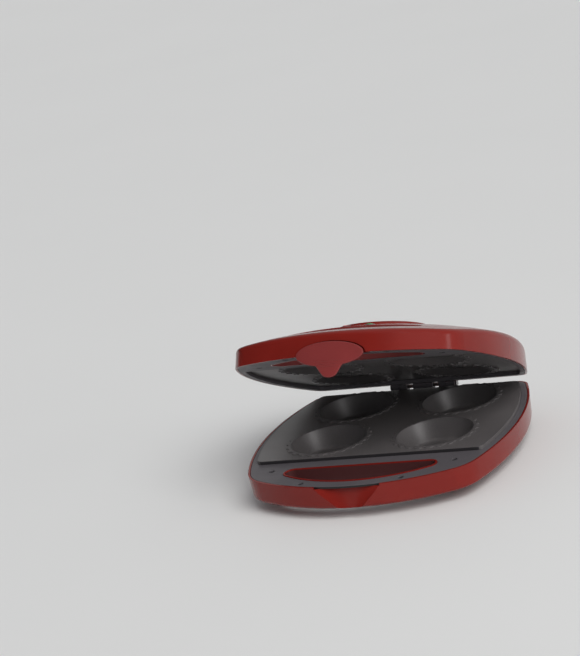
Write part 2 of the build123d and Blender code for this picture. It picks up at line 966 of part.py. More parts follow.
# Hinge pin through every lug, with a head at each end
with BuildPart() as hinge_pin:
    with BuildSketch(side_plane(0)):
        with Locations((hinge_y, hinge_z)):
            Circle(pin_radius)
    extrude(amount=outer_lug_inside + outer_lug_thickness + running_gap, both=True)
    for side in (-1, 1):
        with BuildSketch(side_plane(side * (outer_lug_inside + outer_lug_thickness + running_gap))):
            with Locations((hinge_y, hinge_z)):
                Circle(pin_head_radius)
        extrude(amount=side * pin_head_thickness)
hinge_pin.part.label = "hinge_pin"
export_step(hinge_pin.part, "parts/hinge_pin.step")


# Lid pieces, drawn closed and placed on the opened planes
def lid_across(x, y, z):
    """Upright plane of the closed lid that faces the front, opened with it."""
    return on_lid(across(x, y, z))


def latch_oval(grow):
    """Oval of the latch pad, about the pad's centre."""
    with BuildSketch(mode=Mode.PRIVATE) as oval:
        Ellipse(latch_half_width + grow, latch_half_height + grow)
    return oval.sketch


latch_z = lid_rim_z + latch_rise
pocket_plane = lid_across(0, -body_front + pocket_depth, latch_z)
lens_spots = [(-lens_spacing / 2, lens_y), (lens_spacing / 2, lens_y)]
medallion_z = crown_z + hump_rise - medallion_seat
lens_z = crown_z - crown_sag - lens_seat
pivot_y = -body_front + pivot_depth
pivot_z = latch_z + pivot_rise


def lid_side_plane(x):
    """Plane across the hinge line at a width, opened with the lid."""
    return on_lid(side_plane(x))


def dome_z(reach):
    """Height of the crown at a distance from the medallion's middle."""
    return crown_z - crown_radius + math.sqrt(crown_radius**2 - reach**2)


# Solid under the crown, turned about the medallion's middle: a dome with the medallion's raised seat
seat_radius = medallion_radius + fit_gap
hump_radius = medallion_radius + hump_wall
hump_foot = hump_radius + hump_flare
dome_reach = half_width + body_back
dome_bend = (hump_foot + dome_reach) / 2
with BuildPart() as crown_block:
    with BuildSketch(lid_side_plane(0)):
        with BuildLine():
            Polyline(
                (medallion_y, lid_rim_z - crown_height),
                (medallion_y, medallion_z),
                (medallion_y + seat_radius, medallion_z),
                (medallion_y + seat_radius, crown_z + hump_rise),
                (medallion_y + hump_radius, crown_z + hump_rise),
                (medallion_y + hump_foot, dome_z(hump_foot)),
            )
            ThreePointArc(
                (medallion_y + hump_foot, dome_z(hump_foot)),
                (medallion_y + dome_bend, dome_z(dome_bend)),
                (medallion_y + dome_reach, dome_z(dome_reach)),
            )
            Polyline(
                (medallion_y + dome_reach, dome_z(dome_reach)),
                (medallion_y + dome_reach, lid_rim_z - crown_height),
                (medallion_y, lid_rim_z - crown_height),
            )
        make_face()
    revolve(axis=Axis(lid_spot(0, medallion_y, 0).position, lid_level(0).z_dir))


with BuildPart() as lid_cavity:
    add(
        drafted(
            lid_level(lid_rim_z - overrun),
            shell_stand - shell_wall + overrun * draft_slope,
            lid_level(crown_z),
            shell_stand - shell_wall - crown_height * draft_slope,
        )
    )
    with Locations(lid_spot(0, medallion_y, crown_z - crown_radius)):
        Sphere(crown_radius - shell_wall, rotation=(90, 0, 0), mode=Mode.INTERSECT)
    ceiling = lid_cavity.faces().filter_by(GeomType.SPHERE).sort_by(SortBy.AREA)[-1]
    fillet(ceiling.edges(), crown_edge_radius - shell_wall)
    with BuildSketch(pocket_plane.offset(-shell_wall)):
        add(latch_oval(latch_gap + shell_wall))
    extrude(amount=body_front, mode=Mode.SUBTRACT)
    with BuildSketch(lid_level(lid_rim_z - overrun)):
        add(slot_face(collar_wall))
    extrude(amount=crown_height + 2 * overrun, mode=Mode.SUBTRACT)
    with BuildSketch(lid_level(lid_frame_top_z)):
        with Locations(*boss_spots):
            Circle(boss_radius)
        add(rib_face(lid_rib_reach))
    extrude(amount=crown_height, mode=Mode.SUBTRACT)
    with BuildSketch(lid_level(crown_z - crown_sag - board_rise)):
        with Locations((-board_width * post_share, lens_y), (board_width * post_share, lens_y)):
            Circle(lens_stem_radius)
    extrude(amount=crown_height, mode=Mode.SUBTRACT)

with BuildPart() as lid_shell:
    add(
        drafted(
            lid_level(lid_rim_z),
            shell_stand,
            lid_level(crown_z + overrun),
            shell_stand - (crown_height + overrun) * draft_slope,
        )
    )
    add(crown_block.part, mode=Mode.INTERSECT)
    crown = lid_shell.faces().filter_by(GeomType.SPHERE).sort_by(SortBy.AREA)[-1]
    crown_middle = lid_spot(0, medallion_y, crown_z).position
    fillet(
        crown.edges().filter_by(lambda edge: (edge.center() - crown_middle).length > body_back),
        crown_edge_radius,
    )
    add(lid_cavity.part, mode=Mode.SUBTRACT)
    with BuildSketch(pocket_plane):
        add(latch_oval(latch_gap))
    extrude(amount=body_front, mode=Mode.SUBTRACT)
    with BuildSketch(lid_level(lid_rim_z)):
        add(slot_face(0))
    extrude(amount=crown_height + overrun, mode=Mode.SUBTRACT)
    with BuildSketch(lid_level(lid_frame_top_z)):
        with Locations(*lens_spots):
            Circle(lens_stem_radius + running_gap)
    extrude(amount=crown_height, mode=Mode.SUBTRACT)
    with BuildSketch(lid_level(lens_z)):
        with Locations(*lens_spots):
            Circle(lens_radius + running_gap)
    extrude(amount=lens_stand + lens_seat, mode=Mode.SUBTRACT)
    with BuildSketch(lid_level(lid_rim_z)):
        with Locations((0, body_back)):
            Rectangle(hinge_notch_width, 2 * hinge_behind)
    extrude(amount=lid_frame_depth + hinge_notch_gap, mode=Mode.SUBTRACT)
    with BuildSketch(lid_level(lid_frame_top_z)):
        with Locations(*boss_spots):
            Circle(screw_radius + running_gap)
    extrude(amount=screw_bite + fit_gap, mode=Mode.SUBTRACT)
    for side in (-1, 1):
        with BuildSketch(lid_side_plane(side * (latch_ear_inside + latch_ear_thickness + side_gap))):
            with Locations((pivot_y, pivot_z)):
                Circle(pivot_lug_radius)
            with BuildLine():
                Polyline(
                    (pivot_y, pivot_z - pivot_lug_radius),
                    (-body_front + pocket_depth + overrun, pivot_z - pivot_lug_radius),
                    (-body_front + pocket_depth + overrun, pivot_z + pivot_lug_radius),
                    (pivot_y, pivot_z + pivot_lug_radius),
                    close=True,
                )
            make_face()
            with Locations((pivot_y, pivot_z)):
                Circle(latch_pin_radius + running_gap, mode=Mode.SUBTRACT)
        extrude(amount=side * pivot_lug_thickness)
lid_shell.part.label = "lid_shell"
export_step(lid_shell.part, "parts/lid_shell.step")

# Black frame of the lid with the hinge knuckles
with BuildPart() as lid_frame:
    with BuildSketch(lid_level(lid_rim_z)):
        add(body_face(0))
    extrude(amount=frame_skin)
    with BuildSketch(lid_level(lid_rim_z)):
        add(body_face(0))
        add(plate_face(swing_gap), mode=Mode.SUBTRACT)
        with Locations((0, -plate_front - swing_gap - frame_edge)):
            Rectangle(
                2 * body_width,
                2 * body_front,
                align=(Align.CENTER, Align.MAX),
                mode=Mode.SUBTRACT,
            )
    extrude(amount=lid_frame_depth)
    with BuildSketch(lid_level(lid_rim_z)):
        add(body_face(0))
        add(body_face(-frame_edge), mode=Mode.SUBTRACT)
        add(slot_face(collar_wall + fit_gap + frame_edge))
        with Locations(*boss_spots):
            Circle(boss_radius)
    extrude(amount=lid_frame_depth)
    for start, thickness in (
        (knuckle_inside, outer_lug_inside - knuckle_inside - side_gap),
        (side_gap - outer_lug_inside, outer_lug_inside - knuckle_inside - side_gap),
    ):
        with BuildSketch(lid_side_plane(start)):
            with Locations((hinge_y, hinge_z)):
                Circle(lug_radius)
            with BuildLine():
                Polyline(
                    (body_back - frame_edge, lid_rim_z),
                    (hinge_y, lid_rim_z),
                    (hinge_y, lid_frame_top_z),
                    (body_back - frame_edge, lid_frame_top_z),
                    close=True,
                )
            make_face()
        extrude(amount=thickness)
    with BuildSketch(lid_level(lid_rim_z)):
        add(plate_face(swing_gap))
        add(slot_face(collar_wall + fit_gap))
    extrude(amount=crown_height, mode=Mode.SUBTRACT)
    with BuildSketch(pocket_plane.offset(-shell_wall - fit_gap)):
        add(latch_oval(latch_gap + shell_wall + fit_gap))
    extrude(amount=body_front, mode=Mode.SUBTRACT)
    with BuildSketch(lid_level(lid_rim_z)):
        with Locations(*boss_spots):
            Circle(screw_head_radius + fit_gap)
    extrude(amount=lid_frame_depth - boss_top_wall, mode=Mode.SUBTRACT)
    with BuildSketch(lid_level(lid_rim_z)):
        with Locations(*boss_spots):
            Circle(screw_radius + running_gap)
    extrude(amount=lid_frame_depth, mode=Mode.SUBTRACT)
    with BuildSketch(lid_level(lid_frame_top_z)):
        with Locations(*lid_screw_spots):
            Circle(small_screw_radius + running_gap)
    extrude(amount=-small_screw_bite - fit_gap, mode=Mode.SUBTRACT)
    with BuildSketch(lid_side_plane(-half_width)):
        with Locations((hinge_y, hinge_z)):
            Circle(pin_radius + running_gap)
    extrude(amount=body_width, mode=Mode.SUBTRACT)
lid_frame.part.label = "lid_frame"
export_step(lid_frame.part, "parts/lid_frame.step")

# Upper cooking plate: domed recesses, each ringed by crimping teeth
with BuildPart() as upper_plate:
    with BuildSketch(lid_level(lid_frame_top_z)):
        add(plate_face(upper_plate_lap))
    extrude(amount=plate_thickness)
    with Locations(*[lid_spot(x, y, upper_back_z) for x, y in wells]):
        Cone(
            dome_mouth_radius + plate_thickness,
            dome_top_radius + plate_thickness,
            dome_depth,
            align=(Align.CENTER, Align.CENTER, Align.MIN),
        )
    outer_rings = upper_plate.edges().filter_by(GeomType.CIRCLE)
    fillet(at_level(outer_rings, lid_level(0), dome_top_z), dome_edge_radius)
    with Locations(*[lid_spot(x, y, lid_frame_top_z) for x, y in wells]):
        Cone(
            dome_mouth_radius,
            dome_top_radius,
            dome_depth,
            align=(Align.CENTER, Align.CENTER, Align.MIN),
            mode=Mode.SUBTRACT,
        )
    inner_rings = upper_plate.edges().filter_by(GeomType.CIRCLE)
    fillet(at_level(inner_rings, lid_level(0), lid_frame_top_z + dome_depth), dome_edge_radius)
    with BuildSketch(lid_level(lid_frame_top_z)):
        with Locations(*wells):
            with PolarLocations(dome_mouth_radius + tooth_inset + tooth_length / 2, tooth_count):
                Rectangle(tooth_length, tooth_width)
    extrude(amount=-tooth_height)
    with BuildSketch(lid_level(upper_back_z)):
        with Locations(*lid_screw_spots):
            Circle(small_screw_radius + running_gap)
    extrude(amount=-plate_thickness, mode=Mode.SUBTRACT)
upper_plate.part.label = "upper_plate"
export_step(upper_plate.part, "parts/upper_plate.step")

with BuildPart() as upper_element:
    add(heater_tube(lid_level(dome_top_z + tube_radius)))
upper_element.part.label = "upper_element"
export_step(upper_element.part, "parts/upper_element.step")

with BuildPart() as upper_element_clips:
    for x, y in clip_spots:
        add(clip_solid(lid_across(x, y, dome_top_z), 1))
upper_element_clips.part.label = "upper_element_clips"
export_step(upper_element_clips.part, "parts/upper_element_clips.step")

with BuildPart() as upper_thermostat:
    with BuildSketch(lid_level(upper_back_z)):
        Circle(stat_flange_radius)
    extrude(amount=stat_flange)
    with BuildSketch(lid_level(upper_back_z + stat_flange)):
        Circle(stat_radius)
    extrude(amount=stat_height)
upper_thermostat.part.label = "upper_thermostat"
export_step(upper_thermostat.part, "parts/upper_thermostat.step")

with BuildPart() as upper_plate_screws:
    add(
        screw_solid(
            lid_level(upper_back_z),
            lid_screw_spots,
            small_screw_radius,
            small_screw_head_radius,
            small_screw_head,
            plate_thickness + small_screw_bite,
        )
    )
upper_plate_screws.part.label = "upper_plate_screws"
export_step(upper_plate_screws.part, "parts/upper_plate_screws.step")

with BuildPart() as lid_deck_screws:
    add(
        screw_solid(
            on_lid(under(lid_frame_top_z - boss_top_wall)),
            boss_spots,
            screw_radius,
            screw_head_radius,
            screw_head,
            boss_top_wall + screw_bite,
        )
    )
lid_deck_screws.part.label = "lid_deck_screws"
export_step(lid_deck_screws.part, "parts/lid_deck_screws.step")

# Medallion: a trim ring round a shallow disc
with BuildPart() as medallion_ring_part:
    with BuildSketch(lid_level(medallion_z)):
        with Locations((0, medallion_y)):
            Circle(medallion_radius)
            Circle(medallion_radius - medallion_ring, mode=Mode.SUBTRACT)
    extrude(amount=medallion_seat + medallion_stand)
    tops = medallion_ring_part.edges().filter_by(GeomType.CIRCLE)
    fillet(
        at_level(tops, lid_level(0), medallion_z + medallion_seat + medallion_stand),
        medallion_stand / 2,
    )
medallion_ring_part.part.label = "medallion_ring"
export_step(medallion_ring_part.part, "parts/medallion_ring.step")

with BuildPart() as medallion:
    with BuildSketch(lid_level(medallion_z)):
        with Locations((0, medallion_y)):
            Circle(medallion_radius - medallion_ring - running_gap)
    extrude(amount=medallion_seat + medallion_stand / 2)
medallion.part.label = "medallion"
export_step(medallion.part, "parts/medallion.step")

# Signal lights: lenses in the crown, lamps on a board hung from two posts
board_z = crown_z - crown_sag - board_rise - board_thickness
for lens_name, lens_spot in zip(("power_lens", "ready_lens"), lens_spots):
    with BuildPart() as lens:
        with BuildSketch(lid_level(board_z + board_thickness + lamp_height + fit_gap)):
            with Locations(lens_spot):
                Circle(lens_stem_radius)
        extrude(amount=lens_z - board_z - board_thickness - lamp_height - fit_gap)
        with BuildSketch(lid_level(lens_z)):
            with Locations(lens_spot):
                Circle(lens_radius)
        extrude(amount=lens_seat + lens_stand)
        tops = lens.edges().filter_by(GeomType.CIRCLE)
        fillet(at_level(tops, lid_level(0), lens_z + lens_seat + lens_stand), lens_stand / 2)
    lens.part.label = lens_name
    export_step(lens.part, "parts/" + lens_name + ".step")

with BuildPart() as lamp_board:
    with BuildSketch(lid_level(board_z)):
        with Locations((0, lens_y)):
            Rectangle(board_width, board_depth)
    extrude(amount=board_thickness)
    with BuildSketch(lid_level(board_z + board_thickness)):
        with Locations(*lens_spots):
            Circle(lamp_radius)
    extrude(amount=lamp_height)
lamp_board.part.label = "lamp_board"
export_step(lamp_board.part, "parts/lamp_board.step")

# Latch: a curved oval pad with a hooked tongue, hung on a pin behind the pad
def latch_face():
    """Outline of the pad and its tongue, about the pad's centre."""
    root = -latch_half_height * tongue_root_share
    with BuildSketch(mode=Mode.PRIVATE) as outline:
        add(latch_oval(0))
        with BuildLine():
            Polyline(
                (-tongue_top_half, root),
                (-tongue_tip_half, -tongue_drop),
                (tongue_tip_half, -tongue_drop),
                (tongue_top_half, root),
                close=True,
            )
        make_face()
        rows = outline.vertices().group_by(Axis.Y)
        fillet(rows[0], tongue_tip_radius)
        fillet(outline.vertices().group_by(Axis.Y)[-2], tongue_root_radius)
    return outline.sketch


with BuildPart() as latch:
    with BuildSketch(lid_across(0, -body_front, latch_z)):
        add(latch_face())
    extrude(amount=front_radius / 2, both=True)
    with Locations(lid_spot(0, front_radius - body_front, latch_z)):
        Cylinder(front_radius + latch_stand + latch_thickness, body_width, mode=Mode.INTERSECT)
        Cylinder(front_radius + latch_stand, body_width, mode=Mode.SUBTRACT)
    pad_front = latch.faces().filter_by(GeomType.CYLINDER).sort_by(Axis.Y)[0]
    fillet(pad_front.edges(), latch_edge_radius)
    for side in (-1, 1):
        with BuildSketch(lid_side_plane(side * latch_ear_inside)):
            with Locations((pivot_y, pivot_z)):
                Circle(latch_ear_radius)
            with BuildLine():
                Polyline(
                    (pivot_y, pivot_z - latch_ear_radius),
                    (-body_front - latch_stand + latch_ear_sink, pivot_z - latch_ear_radius),
                    (-body_front - latch_stand + latch_ear_sink, pivot_z + latch_ear_radius),
                    (pivot_y, pivot_z + latch_ear_radius),
                    close=True,
                )
            make_face()
        extrude(amount=side * latch_ear_thickness)
    with BuildSketch(lid_side_plane(0)):
        with BuildLine():
            Polyline(
                (-body_front - latch_stand, scoop_top_z - hook_gap),
                (-body_front - latch_stand + hook_reach, scoop_top_z - hook_gap),
                (-body_front - latch_stand, scoop_top_z - hook_gap - hook_height),
                (-body_front - latch_stand - overrun, scoop_top_z - hook_gap - hook_height),
                (-body_front - latch_stand - overrun, scoop_top_z - hook_gap),
                close=True,
            )
        make_face()
    extrude(amount=hook_half_width, both=True)
    with BuildSketch(lid_side_plane(-half_width)):
        with Locations((pivot_y, pivot_z)):
            Circle(latch_pin_radius + running_gap)
    extrude(amount=body_width, mode=Mode.SUBTRACT)
latch.part.label = "latch"
export_step(latch.part, "parts/latch.step")

# Pin of the latch, held in the two lugs behind the pad
with BuildPart() as latch_pin:
    with BuildSketch(lid_side_plane(0)):
        with Locations((pivot_y, pivot_z)):
            Circle(latch_pin_radius)
    extrude(
        amount=latch_ear_inside + latch_ear_thickness + side_gap + pivot_lug_thickness, both=True
    )
latch_pin.part.label = "latch_pin"
export_step(latch_pin.part, "parts/latch_pin.step")


def lid_point(x, y, z):
    """Point of the closed lid, opened with it."""
    return lid_level(0).from_local_coords((x, y, z))


# Wires inside the lid: board to thermostat, thermostat to both heater tags
lid_wire_z = dome_top_z + tube_radius
stat_wire_z = upper_back_z + stat_flange + stat_height / 2
board_wire_z = upper_back_z + stat_flange + stat_height / 4
stat_side_x = stat_radius / 2
stat_side_y = math.sqrt(stat_radius**2 - (stat_side_x - wire_radius) ** 2) + fit_gap
with BuildPart() as lid_wiring:
    add(
        wire_solid(
            [
                lid_point(0, lens_y, board_z),
                lid_point(0, lens_y, board_wire_z),
                lid_point(0, -stat_radius, board_wire_z),
            ],
            wire_bend_radius / 2,
        )
    )
    for side in (-1, 1):
        add(
            wire_solid(
                [
                    lid_point(side * tag_x, tag_y, lid_wire_z),
                    lid_point(side * stat_side_x, tag_y, lid_wire_z),
                    lid_point(side * stat_side_x, stat_side_y + 2 * board_depth, lid_wire_z),
                    lid_point(side * stat_side_x, stat_side_y + board_depth, stat_wire_z),
                    lid_point(side * stat_side_x, stat_side_y, stat_wire_z),
                ],
                wire_bend_radius,
            )
        )
lid_wiring.part.label = "lid_wiring"
export_step(lid_wiring.part, "parts/lid_wiring.step")
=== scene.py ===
import bpy
import bmesh
import json
import math
from mathutils import Matrix, Vector


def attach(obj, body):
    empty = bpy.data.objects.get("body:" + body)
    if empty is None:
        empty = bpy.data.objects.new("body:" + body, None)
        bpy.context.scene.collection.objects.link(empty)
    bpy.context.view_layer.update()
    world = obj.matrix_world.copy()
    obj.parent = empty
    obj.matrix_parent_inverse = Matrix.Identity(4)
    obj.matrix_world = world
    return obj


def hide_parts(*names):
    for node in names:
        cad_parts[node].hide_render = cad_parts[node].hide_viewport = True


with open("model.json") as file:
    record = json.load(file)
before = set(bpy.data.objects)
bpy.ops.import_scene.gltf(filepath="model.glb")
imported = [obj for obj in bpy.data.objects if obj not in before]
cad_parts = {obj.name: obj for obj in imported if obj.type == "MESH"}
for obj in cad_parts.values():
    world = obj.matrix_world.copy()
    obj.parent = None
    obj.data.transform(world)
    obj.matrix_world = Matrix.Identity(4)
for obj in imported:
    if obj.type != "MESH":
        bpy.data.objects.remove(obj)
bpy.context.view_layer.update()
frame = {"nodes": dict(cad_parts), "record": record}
nodes = frame["nodes"]
scene = bpy.context.scene

# Layout of the object in metres. HINGE and WELLS_Y are places in the scene. The rest is measured on a closed
# half from the middle of its wells, with heights from the table
HINGE = Vector((0, 0.14997, 0.041))
WELLS_Y = 0.03197
LID_OPEN = math.radians(27)
HALF_WIDTH = 0.152
FRONT = 0.187
FRONT_BOW = 0.21762
FRONT_BOW_Y = FRONT_BOW - FRONT
RIM_Z = 0.040
CROWN_Z = 0.090
CROWN_RADIUS = 0.640
MEDALLION_Y = -0.016
MEDALLION_Z = 0.0902
CROWN_CENTRE = Vector((0, MEDALLION_Y, CROWN_Z - CROWN_RADIUS))

# From the coordinates of each closed half to its place at rest
BASE = Matrix.Translation((0, WELLS_Y, 0))
LID = Matrix.Translation(HINGE) @ Matrix.Rotation(-LID_OPEN, 4, "X") @ Matrix.Translation(-HINGE) @ BASE

# Bounds of the areas with painted shade, and the width over which it fades
MASK_EDGE = 0.0003
UNDER_RIM = RIM_Z - 0.0005
UNDER_CROWN = CROWN_RADIUS - 0.0010
SLOT_BOW = 0.1475
SLOT_BOW_Y = -0.0237
SLOT_BACK = -0.1278
BASE_SLOT_FOOT = 0.0135
LID_SLOT_FOOT = 0.0424
PLATE_SKIRT_Z = 0.0432
PLATE_SKIRT_Y = -0.1056

RED = (0.185, 0.013, 0.009)
# Painted shade on the walls inside the handle slots, of the base and of the lid
SLOT_SHADE_RED = (0.068, 0.020, 0.020)
LID_SLOT_SHADE_RED = (0.160, 0.032, 0.030)
LATCH_RED = (0.200, 0.027, 0.026)
TRIM_BLACK = (0.098, 0.090, 0.097)
# Painted shade on the deck's lip and on the lower plate's front edge
LIP_SHADE_BLACK = (0.010, 0.009, 0.010)
SKIRT_SHADE_BLACK = (0.024, 0.022, 0.024)
PORCELAIN = (0.72, 0.70, 0.65)
CREAM = (0.78, 0.55, 0.26)
BOARD_GREEN = (0.03, 0.16, 0.07)

mats = {}


# Shader nodes
def material(name):
    """New material under its name, with its surface node and the coordinates of its patterns."""
    mat = bpy.data.materials.new(name)
    mat.use_nodes = True
    tree = mat.node_tree
    tree.nodes.clear()
    out = tree.nodes.new("ShaderNodeOutputMaterial")
    bsdf = tree.nodes.new("ShaderNodeBsdfPrincipled")
    tree.links.new(bsdf.outputs["BSDF"], out.inputs["Surface"])
    coords = tree.nodes.new("ShaderNodeTexCoord")
    mats[name] = mat
    return tree, bsdf, coords


def find(mat, kind):
    return next(node for node in mat.node_tree.nodes if node.type == kind)


def put(node, values):
    """Values for a node's inputs, by name."""
    for name, value in values.items():
        node.inputs[name].default_value = value


def feed(tree, socket, value):
    """Links a socket to another one, or sets its value."""
    if isinstance(value, bpy.types.NodeSocket):
        tree.links.new(value, socket)
    else:
        socket.default_value = value


def grey(value):
    return (value, value, value)


def scale_by(colour, factor):
    return tuple(min(1, c * factor) for c in colour)


def noise(tree, coords, scale, detail=3, rough=0.5, stretch=None):
    """Pattern from 0 to 1, drawn out along the axes where a stretch is given."""
    source = coords.outputs["Object"]
    if stretch:
        mapping = tree.nodes.new("ShaderNodeMapping")
        put(mapping, {"Scale": stretch})
        tree.links.new(source, mapping.inputs["Vector"])
        source = mapping.outputs["Vector"]
    node = tree.nodes.new("ShaderNodeTexNoise")
    put(node, {"Scale": scale, "Detail": detail, "Roughness": rough})
    tree.links.new(source, node.inputs["Vector"])
    return node.outputs["Fac"]


def ramp(tree, pattern, *stops):
    """Colours along a pattern, from (place, colour) pairs."""
    node = tree.nodes.new("ShaderNodeValToRGB")
    elements = node.color_ramp.elements
    while len(elements) < len(stops):
        elements.new(0.5)
    for element, (place, colour) in zip(elements, stops):
        element.position = place
        element.color = (*colour, 1)
    tree.links.new(pattern, node.inputs["Fac"])
    return node.outputs["Color"]


def vary(tree, bsdf, name, pattern, low, high):
    """Lets a surface input follow a pattern between two (place, colour) pairs."""
    tree.links.new(ramp(tree, pattern, low, high), bsdf.inputs[name])


def bump(tree, bsdf, height, strength, depth):
    """Surface grain over softly rounded edges."""
    rounded = tree.nodes.new("ShaderNodeBevel")
    rounded.samples = 4
    put(rounded, {"Radius": 0.0005})
    node = tree.nodes.new("ShaderNodeBump")
    put(node, {"Strength": strength, "Distance": depth})
    tree.links.new(rounded.outputs["Normal"], node.inputs["Normal"])
    tree.links.new(height, node.inputs["Height"])
    tree.links.new(node.outputs["Normal"], bsdf.inputs["Normal"])


def mixed(tree, factor, a, b, blend="MIX"):
    """Mix of two colours, each of them a socket or a value."""
    node = tree.nodes.new("ShaderNodeMix")
    node.data_type = "RGBA"
    node.blend_type = blend
    for name, value in (("Factor", factor), ("A", a), ("B", b)):
        feed(tree, node.inputs[name], value)
    return node.outputs["Result"]


def compute(tree, operation, *values):
    """One step of arithmetic on sockets and numbers."""
    node = tree.nodes.new("ShaderNodeMath")
    node.operation = operation
    for socket, value in zip(node.inputs, values):
        feed(tree, socket, value)
    return node.outputs[0]


def fade(tree, value, full, none):
    """1 at the full value, 0 at the other."""
    node = tree.nodes.new("ShaderNodeMapRange")
    put(node, {"From Min": none, "From Max": full})
    tree.links.new(value, node.inputs["Value"])
    return node.outputs["Result"]


def below(tree, value, limit, edge=MASK_EDGE):
    return fade(tree, value, limit, limit + edge)


def above(tree, value, limit):
    return fade(tree, value, limit, limit - MASK_EDGE)


def placed(tree, coords, matrix):
    """Object coordinates taken back to those of a closed half, one socket for each axis."""
    back = matrix.inverted()
    axes = []
    for row in range(3):
        dot = tree.nodes.new("ShaderNodeVectorMath")
        dot.operation = "DOT_PRODUCT"
        dot.inputs[1].default_value = back[row][:3]
        tree.links.new(coords.outputs["Object"], dot.inputs[0])
        axes.append(compute(tree, "ADD", dot.outputs["Value"], back[row][3]))
    return axes


def distance(tree, axes, centre):
    """Distance from a centre, in the plane of two axes or in space."""
    total = 0
    for value, middle in zip(axes, centre):
        away = compute(tree, "SUBTRACT", value, middle)
        total = compute(tree, "ADD", total, compute(tree, "MULTIPLY", away, away))
    return compute(tree, "SQRT", total)


def change(mat, name, mask, value):
    """Another value for one of a material's inputs where the mask is 1."""
    tree = mat.node_tree
    socket = find(mat, "BSDF_PRINCIPLED").inputs[name]
    tree.links.new(mixed(tree, mask, socket.links[0].from_socket, (*value, 1)), socket)


# Materials
def plastic(name, colour, rough, spread, grain, relief, coat=0.0, mottle=0.08, shine=0.5):
    """Moulded plastic: faint mottle, uneven gloss and a fine moulded grain."""
    tree, bsdf, coords = material(name)
    patches = noise(tree, coords, scale=18, detail=4)
    deep = scale_by(colour, 1 - mottle)
    pale = scale_by(colour, 1 + mottle)
    vary(tree, bsdf, "Base Color", patches, (0.3, deep), (0.7, pale))
    gloss = noise(tree, coords, scale=55, detail=5, rough=0.6)
    smoothest = grey(max(0.02, rough - spread))
    vary(tree, bsdf, "Roughness", gloss, (0.3, smoothest), (0.75, grey(rough + spread)))
    put(bsdf, {"IOR": 1.5, "Specular IOR Level": shine, "Coat Weight": coat, "Coat Roughness": 0.06})
    bump(tree, bsdf, noise(tree, coords, grain), strength=relief, depth=0.0004)


def metal(name, colour, rough, streak, tint=None):
    """Bare metal: streaks along one way, small stains and uneven gloss."""
    tree, bsdf, coords = material(name)
    lines = noise(tree, coords, scale=60, detail=4, rough=0.6, stretch=streak)
    stain = tint or scale_by(colour, 0.8)
    vary(tree, bsdf, "Base Color", lines, (0.35, stain), (0.65, colour))
    vary(tree, bsdf, "Roughness", lines, (0.3, grey(rough * 0.8)), (0.7, grey(rough * 1.25)))
    put(bsdf, {"Metallic": 1})
    bump(tree, bsdf, lines, strength=0.15, depth=0.0002)


def coating(name):
    """Dark non-stick coating over cast metal: fine speckle, soft sheen and a sprayed texture."""
    tree, bsdf, coords = material(name)
    cloud = noise(tree, coords, scale=25, detail=4)
    speckle = noise(tree, coords, scale=1500, detail=2, rough=0.7)
    base = ramp(tree, cloud, (0.3, (0.100, 0.092, 0.092)), (0.7, (0.124, 0.113, 0.113)))
    flecks = ramp(tree, speckle, (0.62, grey(0)), (0.72, grey(0.10)))
    tree.links.new(mixed(tree, 1, base, flecks, "ADD"), bsdf.inputs["Base Color"])
    vary(tree, bsdf, "Roughness", cloud, (0.3, grey(0.36)), (0.7, grey(0.46)))
    put(bsdf, {"Metallic": 0.1, "Coat Weight": 0.25, "Coat Roughness": 0.3})
    bump(tree, bsdf, noise(tree, coords, scale=900), strength=0.25, depth=0.0003)


def rubber(name):
    """Dull black rubber with a little dust on it."""
    tree, bsdf, coords = material(name)
    dust = noise(tree, coords, scale=90, detail=5, rough=0.6)
    vary(tree, bsdf, "Base Color", dust, (0.35, grey(0.012)), (0.8, (0.035, 0.034, 0.033)))
    vary(tree, bsdf, "Roughness", dust, (0.3, grey(0.72)), (0.7, grey(0.86)))
    bump(tree, bsdf, noise(tree, coords, scale=700), strength=0.3, depth=0.0003)


def lens(name, colour, deep):
    """Clear tinted plastic over a dim lamp."""
    tree, bsdf, coords = material(name)
    glow = noise(tree, coords, scale=160, detail=2)
    tint = ramp(tree, glow, (0.35, deep), (0.7, colour))
    tree.links.new(tint, bsdf.inputs["Base Color"])
    tree.links.new(tint, bsdf.inputs["Emission Color"])
    put(bsdf, {"Emission Strength": 0.25, "Roughness": 0.12, "Transmission Weight": 0.3, "Coat Weight": 0.8})
    bump(tree, bsdf, noise(tree, coords, scale=1200, detail=1), strength=0.12, depth=0.0003)


def paint_slot_shade(mat):
    """Painted shade: a darker red painted on the walls inside the handle slots of both halves, under their
    lips, with a duller gloss.
    """
    tree = mat.node_tree
    coords = find(mat, "TEX_COORD")
    base = placed(tree, coords, BASE)
    lid = placed(tree, coords, LID)
    under_rim = below(tree, base[2], UNDER_RIM)
    under_crown = below(tree, distance(tree, lid, CROWN_CENTRE), UNDER_CROWN)
    for axes, foot, under_lip, colour in (
        (base, BASE_SLOT_FOOT, under_rim, SLOT_SHADE_RED),
        (lid, LID_SLOT_FOOT, under_crown, LID_SLOT_SHADE_RED),
    ):
        in_bow = below(tree, distance(tree, axes[:2], (0, SLOT_BOW_Y)), SLOT_BOW)
        outline = compute(tree, "MULTIPLY", in_bow, below(tree, axes[1], SLOT_BACK))
        between = compute(tree, "MULTIPLY", under_lip, above(tree, axes[2], foot))
        walls = compute(tree, "MULTIPLY", outline, between)
        change(mat, "Base Color", walls, colour)
        change(mat, "Roughness", walls, grey(0.55))


def paint_lip_shade(mat):
    """Painted shade: a near black colour painted on the front face of the deck's lip, over the latch scoop.
    """
    tree = mat.node_tree
    axes = placed(tree, find(mat, "TEX_COORD"), BASE)
    outmost = above(tree, distance(tree, axes[:2], (0, FRONT_BOW_Y)), FRONT_BOW - 0.0003)
    face = compute(tree, "MULTIPLY", outmost, below(tree, axes[2], UNDER_RIM))
    change(mat, "Base Color", face, LIP_SHADE_BLACK)
    change(mat, "Roughness", face, grey(0.6))


